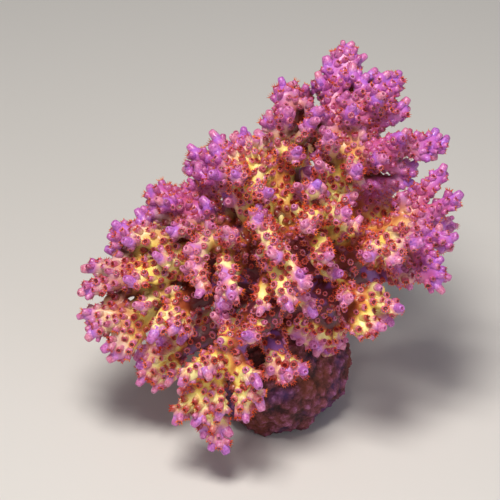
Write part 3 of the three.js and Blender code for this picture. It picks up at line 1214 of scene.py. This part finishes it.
@dataclass
class Colony:
    """The coral: one skin over the trunk, limbs and branches, cut by branch, and the cups on it."""

    nodes: dict[str, bpy.types.Object]
    stone: bpy.types.Object
    box: tuple[Vector, Vector]
    swell: float = 0.34 * MM  # closes the gaps between the solids
    voxel: float = 0.45 * MM
    rough_voxel: float = 0.8 * MM  # for the skin that the spurs are sited on
    soften: int = 9
    lump: float = 0.22 * MM
    lump_size: float = 3.2 * MM
    margin: float = 1.6 * MM  # the edge of the skin over the stone
    dip: float = 0.9 * MM
    trunk_reach: float = 34.0  # millimetres from the stone over which tissue looks older than it is
    shade_start: float = 0.23  # the share of blocked ways out from which the painted shade starts to darken the tissue
    shade_width: float = 0.4
    flush_patch: float = 9 * MM  # across a patch that is rosier or yellower than those round it
    edge_rounds: int = 6  # how much the edges between two branches' skins are evened out
    cap_depth: float = 1.2 * MM  # how deep a cut's cap lies under the skin, at least
    spacing: float = 1.66  # millimetres between cups
    spacing_old: float = 0.3  # millimetres more on old tissue
    spacing_shade: float = 0.8  # millimetres more deep between the fingers
    spacing_vary: float = 0.6  # millimetres more in sparse patches
    patch: float = 5.0  # millimetres across a sparse patch
    spacing_tip: float = 1.8  # millimetres at least, close to a tip
    tip_room: float = 2.2  # millimetres from a tip that count as close
    old_from: float = 8.0  # millimetres from a tip where tissue starts to look old
    old_span: float = 12.0  # millimetres more until it is fully old
    young_to: float = 7.0  # millimetres from a tip over which cups stand taller
    tip_width: tuple[float, float] = (0.86, 1.08)  # shares of the tip cup's own shape
    tip_height: tuple[float, float] = (0.9, 1.15)
    spur_tip: float = 0.75  # a spur's tip cup, as a share of a finger's
    tip_sink: float = 0.25  # millimetres that a tip cup is sunk
    cup_width: tuple[float, float] = (0.88, 1.16)
    cup_height: tuple[float, float] = (0.75, 1.2)
    sink: float = 0.1
    lean: float = math.radians(42)  # of a young cup towards its finger's tip
    lean_vary: tuple[float, float] = (0.75, 1.2)
    wobble: float = 0.08
    shoots: tuple[Finger, ...] = tuple(
        Finger(Vector(root) * MM, Vector(tip) * MM, SHOOT_RADIUS * MM) for root, tip in SHOOTS
    )
    spur_spacing: float = 6.2 * MM
    spur_clear: float = 9.0  # millimetres along the skin between a spur and any tip
    spur_age: float = 4.0  # millimetres of growth by which a spur's tip is behind a finger's
    spur_from_root: float = 20 * MM  # the nearest to the stone that spurs grow
    spur_length: tuple[float, float] = (2.4, 4.8)
    spur_radius: tuple[float, float] = (1.3, 1.65)
    spur_lean: tuple[float, float] = (0.3, 0.8)  # radians towards the tip
    seed: int = 11
    ground: BVHTree = field(init=False)
    skin: SkinMap = field(init=False)
    owner: np.ndarray = field(init=False)
    fields: dict[Along, np.ndarray] = field(init=False)
    heading: np.ndarray = field(init=False)
    tip_points: list[int] = field(init=False)

    def __post_init__(self) -> None:
        """Makes the stone's surface ready for finding the nearest point on it."""
        rock = bmesh.new()
        rock.from_mesh(self.stone.data)
        self.ground = BVHTree.FromBMesh(rock)
        rock.free()

    def fuse(self, spurs: Sequence[Finger], voxel: float) -> SkinMap:
        """Fuses swollen copies of the solids, the shoots and the spurs into one softened skin.

        Args:
            spurs: Young side fingers to add.
            voxel: The skin's point spacing.

        Returns:
            The skin.
        """
        bm = bmesh.new()
        for node in self.nodes.values():
            part = bmesh.new()
            part.from_mesh(node.data)
            bmesh.ops.remove_doubles(part, verts=part.verts, dist=WELD)
            part.normal_update()
            for vert in part.verts:
                vert.co += vert.normal * self.swell
            copy = bpy.data.meshes.new("part")
            part.to_mesh(copy)
            part.free()
            bm.from_mesh(copy)
            bpy.data.meshes.remove(copy)
        for finger in (*self.shoots, *spurs):
            finger.add_to(bm)
        bm = remeshed(bm, voxel)
        bmesh.ops.delete(bm, geom=list(set(bm.verts) - largest_island(bm)), context="VERTS")
        soften(bm, self.soften)
        for vert in bm.verts:
            vert.co += vert.normal * self.lump * noise.noise(vert.co / self.lump_size)
            near, out, _, distance = self.ground.find_nearest(vert.co, self.margin)
            if near is not None:  # the edge thins out and dips into the stone's crust
                vert.co -= out * self.dip * (1 - distance / self.margin) ** 2
        bm.normal_update()
        shape = bpy.data.meshes.new("skin")
        bm.to_mesh(shape)
        bm.free()
        return SkinMap(shape)

    def from_root(self, skin: SkinMap) -> np.ndarray:
        """Measures the way along the skin from its edge on the stone.

        Args:
            skin: The skin.

        Returns:
            The distance of each point, in metres.
        """
        return skin.distances(
            i for i, p in enumerate(skin.points.tolist()) if self.ground.find_nearest(p, self.margin)[0]
        )

    def spurs(self) -> list[Finger]:
        """Grows spurs, which are young side fingers, on bare stretches of the limbs where there is room.

        Returns:
            The spurs.
        """
        skin = self.fuse([], self.rough_voxel)
        from_root = self.from_root(skin)
        heading = skin.headings(from_root)
        to_tip = skin.distances(skin.tips(from_root)) / MM
        tree = skin.tree()
        rng = np.random.default_rng(self.seed + 2)
        low, high = self.box
        found: list[Finger] = []
        for i in rng.permutation(len(skin.points)):
            if to_tip[i] < self.spur_clear or from_root[i] < self.spur_from_root:
                continue
            root = Vector(skin.points[i])
            if any((root - spur.root).length < self.spur_spacing for spur in found):
                continue
            lean = rng.uniform(*self.spur_lean)
            axis = Vector(skin.normals[i] * math.cos(lean) + heading[i] * math.sin(lean))
            length = rng.uniform(*self.spur_length) * MM
            out = root + axis * (length + 1.5 * MM)
            if any(not a < v < b for a, v, b in zip(low, out, high)):
                continue
            blocked = tree.ray_cast(root + axis * MM, axis, length + 6 * MM)[3]
            if blocked is None:
                radius = rng.uniform(*self.spur_radius) * MM
                found.append(Finger(root - axis * MM, root + axis * length, radius))
        log.info("spurs: %d", len(found))
        return found

    def survey(self, spurs: Sequence[Finger]) -> None:
        """Works out each skin point's owner, heading and place on the colony.

        Args:
            spurs: The spurs that the skin covers.
        """
        names = list(self.nodes)
        corners: list[Vector] = []
        faces: list[tuple[int, ...]] = []
        owners: list[int] = []
        for number, name in enumerate(names):
            data = self.nodes[name].data
            start = len(corners)
            corners += [v.co.copy() for v in data.vertices]
            faces += [tuple(start + i for i in p.vertices) for p in data.polygons]
            owners += [number] * len(data.polygons)
        tree = BVHTree.FromPolygons(corners, faces)
        points = self.skin.points
        nearest = [owners[tree.find_nearest(p)[2]] for p in points.tolist()]
        shares = self.skin.average(np.eye(len(names), dtype=np.float32)[nearest], self.edge_rounds)
        self.owner = self.skin.joined_up(shares.argmax(axis=1))

        from_root = self.from_root(self.skin)
        self.heading = self.skin.headings(from_root)
        self.tip_points = self.skin.tips(from_root)
        late = [any((Vector(points[i]) - s.tip).length < 2 * MM for s in spurs) for i in self.tip_points]
        fingers = [tip for tip, is_late in zip(self.tip_points, late) if not is_late]
        to_tip = self.skin.distances(fingers) / MM
        to_spur = self.skin.distances(set(self.tip_points) - set(fingers)) / MM + self.spur_age
        to_tip = np.minimum(to_tip, to_spur)
        to_tip += ramped(to_tip, 5, 4) * np.clip(self.trunk_reach - from_root / MM, 0, None)
        log.info("tips: %d", len(self.tip_points))
        self.fields = {
            Along.TO_TIP: to_tip,
            Along.SHADE: ramped(self.skin.shade(), self.shade_start, self.shade_width),
            Along.FLUSH: self.flush(),
        }

    def flush(self) -> np.ndarray:
        """Finds how rosy each skin point is: the top, both sides and the upper left of the colony are.

        Returns:
            For each point, 0 for cream-yellow tissue to 1 for rosy tissue.
        """
        x, y, z = (self.skin.points / MM).T
        top = ramped(z + 0.35 * y, 65, 12)
        upper_left = ramped(-x, 6, 9) * ramped(z + 0.3 * y, 47, 8)
        upper_right = ramped(x, 17, 6) * ramped(z + 0.5 * y, 52, 6)
        sides = np.maximum(ramped(x, 26, 7), 0.6 * ramped(-x, 31, 5))
        drift = np.array([noise.noise(Vector(p) / self.flush_patch) for p in self.skin.points])
        return np.clip(np.max([top, upper_left, upper_right, sides], axis=0) + 0.35 * drift, 0, 1)

    def plant(self) -> list[Cup]:
        """Plants the cups: one at each tip, then as many as fit over the rest of the skin.

        Returns:
            The cups.
        """
        rng = np.random.default_rng(self.seed)
        normals = self.skin.normals
        to_tip, shade = self.fields[Along.TO_TIP], self.fields[Along.SHADE]
        plot = Plot(self.skin.points / MM)
        cups: list[Cup] = []
        for tip in self.tip_points:
            plot.take(tip)
            size = rng.uniform(*self.tip_width) * (self.spur_tip if to_tip[tip] > 1 else 1.0)
            height = size * rng.uniform(*self.tip_height)
            cups.append(Cup(CupKind.TIP, tip, normals[tip], size, height, self.tip_sink))
        for root in rng.permutation(len(plot.points)).tolist():
            age = min(1.0, max(0.0, (to_tip[root] - self.old_from) / self.old_span))
            patchy = noise.noise(Vector(plot.points[root] / self.patch))
            room = self.spacing + max(self.spacing_old * age, self.spacing_shade * shade[root])
            room += self.spacing_vary * max(0.0, patchy)
            if to_tip[root] < self.tip_room:
                room = max(room, self.spacing_tip)
            if not plot.is_free(root, room):
                continue
            plot.take(root)
            lean = self.lean * (1 - 0.5 * age) * rng.uniform(*self.lean_vary)
            axis = normals[root] * math.cos(lean) + self.heading[root] * math.sin(lean)
            axis = axis + rng.normal(0, self.wobble, 3)
            axis /= np.linalg.norm(axis)
            young = max(0.0, 1 - to_tip[root] / self.young_to)
            width = rng.uniform(*self.cup_width) * (1 - 0.1 * age)
            height = rng.uniform(*self.cup_height) * (1 + 0.2 * young - 0.4 * max(age, shade[root]))
            cups.append(Cup(self.kind_at(root, rng), root, axis, width, height, self.sink))
        log.info("cups: %d", len(cups))
        return cups

    def kind_at(self, root: int, rng: np.random.Generator) -> CupKind:
        """Chooses the kind of a cup by its place.

        Args:
            root: The skin point that it stands on.
            rng: The source of chance.

        Returns:
            The kind.
        """
        flush, shade = self.fields[Along.FLUSH][root], self.fields[Along.SHADE][root]
        if self.fields[Along.TO_TIP][root] < rng.uniform(1.4, 3.0):
            return CupKind.BUD
        if self.skin.points[root][0] / MM < 6 and flush > rng.uniform(0.45, 1.1):
            return CupKind.SHAGGY
        if rng.random() < 0.35 + 0.35 * max(flush, shade):
            return CupKind.SHUT
        return CupKind.SIDE

    def close(self, bm: bmesh.types.BMesh, whole: BVHTree) -> None:
        """Closes a cut piece of skin: its edge turns in under a skirt, and a cap lies below the skin.

        Args:
            bm: The piece.
            whole: The whole skin.
        """
        inside = bm.verts.layers.float.new("inside")  # above 0 on a cap's own points
        rims = [e for e in bm.edges if e.is_boundary]
        for edge in rims:
            edge.smooth = False
        for vert in {v for e in rims for v in e.verts}:
            ends = [e for e in vert.link_edges if e.is_boundary]
            if len(ends) > 2:  # two corners that only touch come apart
                bmesh.utils.vert_separate(vert, ends)
        skirt = bmesh.ops.extrude_edge_only(bm, edges=rims)["geom"]
        for vert in (v for v in skirt if isinstance(v, bmesh.types.BMVert)):
            vert.co -= whole.find_nearest(vert.co)[1] * self.cap_depth
        hem = [e for e in skirt if isinstance(e, bmesh.types.BMEdge) and e.is_boundary]
        caps = bmesh.ops.holes_fill(bm, edges=hem, sides=0)["faces"]
        middles = bmesh.ops.poke(bm, faces=caps)["verts"]
        for middle in middles:
            middle[inside] = 1.0
        spokes = [e for middle in middles for e in middle.link_edges]
        bmesh.ops.subdivide_edges(bm, edges=spokes, cuts=3)
        for vert in (v for v in bm.verts if v[inside] > 0):
            near, out, _, _ = whole.find_nearest(vert.co)
            if (near - vert.co).dot(out) < self.cap_depth:
                vert.co = near - out * self.cap_depth
        bm.verts.layers.float.remove(inside)
        bmesh.ops.recalc_face_normals(bm, faces=bm.faces)

    def cut_skin(self, finish: bpy.types.Material) -> None:
        """Cuts the skin into a closed piece for each branch.

        Args:
            finish: The skin's material.
        """
        mesh = self.skin.mesh
        whole = self.skin.tree()
        corners = np.empty(len(mesh.polygons) * 4, np.int32)
        mesh.loops.foreach_get("vertex_index", corners)
        corners = corners.reshape(-1, 4)
        for number, name in enumerate(self.nodes):
            mine = corners[np.sort(self.owner[corners], axis=1)[:, 1] == number]
            used, where = np.unique(mine, return_inverse=True)
            part = bpy.data.meshes.new(f"{name}_skin")
            part.from_pydata(self.skin.points[used].tolist(), [], where.reshape(-1, 4).tolist())
            for attribute, values in self.fields.items():
                set_points(part, attribute, values[used])
            bm = bmesh.new()
            bm.from_mesh(part)
            bpy.data.meshes.remove(part)
            self.close(bm, whole)
            piece = mesh_object(f"{name}_skin", bm)
            piece.data.materials.append(finish)
            settle(piece, [name])

    def cups_mesh(
        self, name: str, cups: Sequence[Cup], stamps: dict[CupKind, Stamp], rng: np.random.Generator
    ) -> bpy.types.Mesh:
        """Joins one branch's cups in a mesh, each with its own square of the flat layout.

        Args:
            name: The mesh's name.
            cups: The cups.
            stamps: The arrays of each kind.
            rng: The source of chance.

        Returns:
            The mesh.
        """
        across = math.ceil(math.sqrt(len(cups)))
        points, faces, materials, flats = [], [], [], []
        values: dict[Along, list[np.ndarray]] = {a: [] for a in (*self.fields, Along.RISE, Along.SEED)}
        count = 0
        for place, cup in enumerate(cups):
            stamp = stamps[cup.kind]
            side = np.cross(cup.axis, rng.normal(size=3))
            side /= np.linalg.norm(side)
            frame = np.stack([side, np.cross(cup.axis, side), cup.axis])
            squash = rng.uniform(0.85, 1.15)
            local = stamp.points * [cup.width * squash, cup.width / squash, cup.height]
            base = self.skin.points[cup.root] - cup.axis * cup.sink * MM
            points.append(base + local @ frame * MM)
            faces.append(stamp.faces + count)
            materials.append(stamp.materials)
            flats.append((np.array([place % across, place // across]) + stamp.flats) / across)
            size = len(stamp.points)
            for attribute, field_values in self.fields.items():
                values[attribute].append(np.full(size, field_values[cup.root]))
            values[Along.RISE].append(stamp.rise)
            values[Along.SEED].append(np.full(size, rng.random()))
            count += size
        mesh = bpy.data.meshes.new(name)
        mesh.from_pydata(np.concatenate(points).tolist(), [], np.concatenate(faces).tolist())
        for attribute, lists in values.items():
            set_points(mesh, attribute, np.concatenate(lists))
        layout = mesh.uv_layers.new(name=BAKE_MAP)
        layout.data.foreach_set("uv", np.concatenate(flats).astype(np.float32).ravel())
        mesh.polygons.foreach_set("material_index", np.concatenate(materials).astype(np.int32))
        mesh.polygons.foreach_set("use_smooth", np.ones(len(mesh.polygons), bool))
        return mesh

    def stand_cups(self, cups: Sequence[Cup], finishes: Sequence[bpy.types.Material]) -> None:
        """Makes the cups of each branch as one piece.

        Args:
            cups: All the cups.
            finishes: The materials of the cups and the tentacles.
        """
        rng = np.random.default_rng(self.seed + 1)
        stamps = {kind: shape.stamp() for kind, shape in CUP_SHAPES.items()}
        for number, name in enumerate(self.nodes):
            mine = [cup for cup in cups if self.owner[cup.root] == number]
            if not mine:
                continue
            mesh = self.cups_mesh(f"{name}_cups", mine, stamps, rng)
            for finish in finishes:
                mesh.materials.append(finish)
            piece = bpy.data.objects.new(mesh.name, mesh)
            bpy.context.scene.collection.objects.link(piece)
            settle(piece, [name])

    def build(self) -> None:
        """Builds the whole colony."""
        spurs = self.spurs()
        self.skin = self.fuse(spurs, self.voxel)
        self.survey(spurs)
        cups = self.plant()
        self.cut_skin(LivingSkin().material())
        self.stand_cups(cups, [CupTissue().material(), TentacleTissue().material()])


@dataclass
class Stone:
    """The lump of rubble: the solid's shape with the knobs and pits of its crust."""

    node: bpy.types.Object
    voxel: float = 0.4 * MM
    soften: int = 5
    knob: float = 1.5 * MM
    knob_size: float = 2.7 * MM
    bead: float = 0.75 * MM
    bead_size: float = 1.15 * MM
    pit: float = 1.5 * MM
    pit_size: float = 6.0 * MM

    def build(self) -> None:
        """Builds the stone."""
        bm = bmesh.new()
        bm.from_mesh(self.node.data)
        bmesh.ops.remove_doubles(bm, verts=bm.verts, dist=WELD)
        bm = remeshed(bm, self.voxel)
        soften(bm, self.soften)
        relief = bm.verts.layers.float.new(Along.RELIEF.value)
        for vert in bm.verts:
            knob = 0.45 - noise.voronoi(vert.co / self.knob_size)[0][0]
            bead = 0.45 - noise.voronoi(vert.co / self.bead_size)[0][0]
            hollow = noise.noise(vert.co / self.pit_size)
            vert[relief] = (self.knob * knob + self.bead * bead) / MM
            vert.co += vert.normal * (self.knob * knob + self.bead * bead + self.pit * hollow)
            vert.co.z = max(vert.co.z, 0.0)
        bmesh.ops.recalc_face_normals(bm, faces=bm.faces)
        piece = mesh_object("stone_crust", bm)
        piece.data.materials.append(CorallineCrust().material())
        settle(piece, [STONE_NODE])


@dataclass(frozen=True)
class Studio:
    """A plain pale floor, soft light and the camera."""

    target: tuple[float, float, float] = (-5.95, 0.7, 44.6)  # millimetres
    distance: float = 600.0
    elevation: float = math.radians(35)
    span: float = 119.0  # millimetres across the view at the target
    floor_colour: str = "#DAD9D6"

    def camera(self) -> None:
        """Places the camera."""
        data = bpy.data.cameras.new("camera")
        data.sensor_width = 36.0
        data.lens = data.sensor_width * self.distance / self.span
        data.clip_start = 0.05
        data.clip_end = 5.0
        back = Vector((0, -math.cos(self.elevation), math.sin(self.elevation)))
        camera = bpy.data.objects.new("camera", data)
        camera.location = (Vector(self.target) + back * self.distance) * MM
        camera.rotation_mode = "QUATERNION"
        camera.rotation_quaternion = (-back).to_track_quat("-Z", "Y")
        bpy.context.scene.collection.objects.link(camera)
        bpy.context.scene.camera = camera

    def lamp(self, name: str, place: Sequence[float], size: float, watts: float, colour: str) -> None:
        """Adds a square soft light that points at the colony.

        Args:
            name: Its name.
            place: Where it is, in millimetres.
            size: Its width, in millimetres.
            watts: Its power.
            colour: Its colour.
        """
        data = bpy.data.lights.new(name, "AREA")
        data.size = size * MM
        data.energy = watts
        data.color = linear(colour)[:3]
        lamp = bpy.data.objects.new(name, data)
        lamp.location = Vector(place) * MM
        lamp.rotation_mode = "QUATERNION"
        lamp.rotation_quaternion = (Vector(self.target) - Vector(place)).to_track_quat("-Z", "Y")
        bpy.context.scene.collection.objects.link(lamp)

    def floor(self) -> None:
        """Lays the floor."""
        material, _, shader = new_material("matt_pale_board")
        shader.inputs["Base Color"].default_value = linear(self.floor_colour)
        shader.inputs["Roughness"].default_value = 0.9
        bm = bmesh.new()
        bmesh.ops.create_grid(bm, x_segments=1, y_segments=1, size=2.0)
        floor = mesh_object("floor", bm)
        floor.data.materials.append(material)
        floor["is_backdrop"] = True

    def light(self) -> None:
        """Lights the scene."""
        self.lamp("key", (-55, -120, 445), 150, 1.98, "#FFF8F0")
        self.lamp("fill", (260, -380, 200), 300, 0.4, "#F2F4FF")
        world = bpy.data.worlds.new("studio")
        world.use_nodes = True
        sky = world.node_tree.nodes["Background"]
        sky.inputs["Color"].default_value = linear("#E8EAF0")
        sky.inputs["Strength"].default_value = 0.2
        scene = bpy.context.scene
        scene.world = world
        scene.view_settings.view_transform = "Standard"

    def build(self) -> None:
        """Sets the studio up."""
        self.camera()
        self.floor()
        self.light()


def main() -> None:
    """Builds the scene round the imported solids."""
    logging.basicConfig(level=logging.INFO, format="%(message)s")
    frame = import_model()
    solid_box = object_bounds()
    Studio().build()
    nodes = frame["nodes"]
    Stone(nodes[STONE_NODE]).build()
    coral = {name: node for name, node in nodes.items() if name != STONE_NODE}
    Colony(coral, nodes[STONE_NODE], solid_box).build()


if __name__ == "__main__":
    main()
